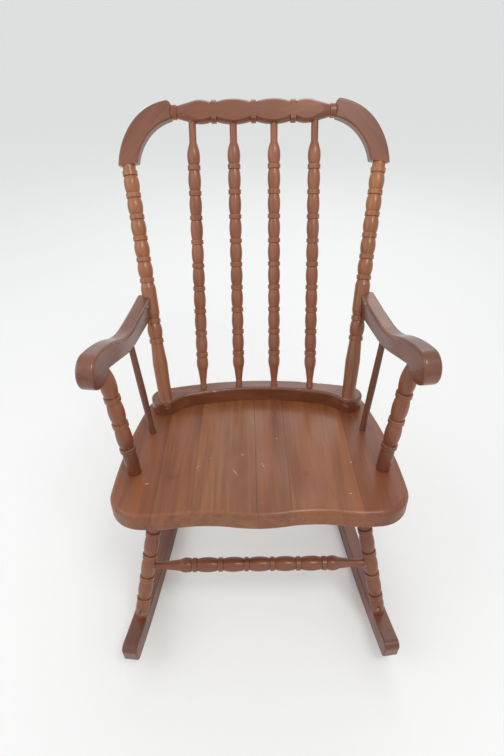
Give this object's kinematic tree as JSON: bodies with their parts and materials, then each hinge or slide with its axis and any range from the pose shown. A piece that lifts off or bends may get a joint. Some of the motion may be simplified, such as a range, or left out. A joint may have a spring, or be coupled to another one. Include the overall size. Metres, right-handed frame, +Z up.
{
  "type": "boston rocking chair",
  "caption": "Wooden rocking chair with bead-turned back spindles, posts and legs, a curved back rail, scrolled arms and two long bow rockers.",
  "frame": {"origin": "on the floor, under the middle of the chair's box", "axes": "+Z up; the sitter looks along -Y; +X is at the right hand side of a viewer who faces the chair"},
  "size_m": [0.533, 0.7128, 0.9034],
  "materials": {
    "seat_wood": "satin brown lacquer over glued boards, worn pale along the rolled edge",
    "rail_wood": "satin brown lacquer",
    "turned_wood": "satin red-brown lacquer, worn lighter on the rings",
    "arm_wood": "glossy dark red-brown lacquer",
    "block_wood": "satin red-brown lacquer",
    "rocker_wood": "satin brown lacquer, scuffed at the noses",
    "dowel_wood": "bare birch",
    "screw_steel": "plain steel wood screws"
  },
  "bodies": {
    "root": {"arm_left": "arm_wood", "arm_post_left": "turned_wood", "arm_post_right": "turned_wood", "arm_right": "arm_wood", "arm_screws": "screw_steel", "arm_spindle_left": "turned_wood", "arm_spindle_right": "turned_wood", "back_post_left": "turned_wood", "back_post_right": "turned_wood", "back_rail": "rail_wood", "back_spindle_1": "turned_wood", "back_spindle_2": "turned_wood", "back_spindle_3": "turned_wood", "back_spindle_4": "turned_wood", "corner_block_left": "block_wood", "corner_block_right": "block_wood", "crest_dowels": "dowel_wood", "crest_rail": "turned_wood", "front_leg_left": "turned_wood", "front_leg_right": "turned_wood", "front_stretcher": "turned_wood", "rail_screws": "screw_steel", "rear_leg_left": "turned_wood", "rear_leg_right": "turned_wood", "rear_stretcher": "turned_wood", "rocker_left": "rocker_wood", "rocker_right": "rocker_wood", "rocker_screws": "screw_steel", "seat_board_1": "seat_wood", "seat_board_2": "seat_wood", "seat_board_3": "seat_wood", "seat_board_4": "seat_wood", "seat_board_5": "seat_wood", "seat_board_6": "seat_wood"}
  },
  "joints": []
}
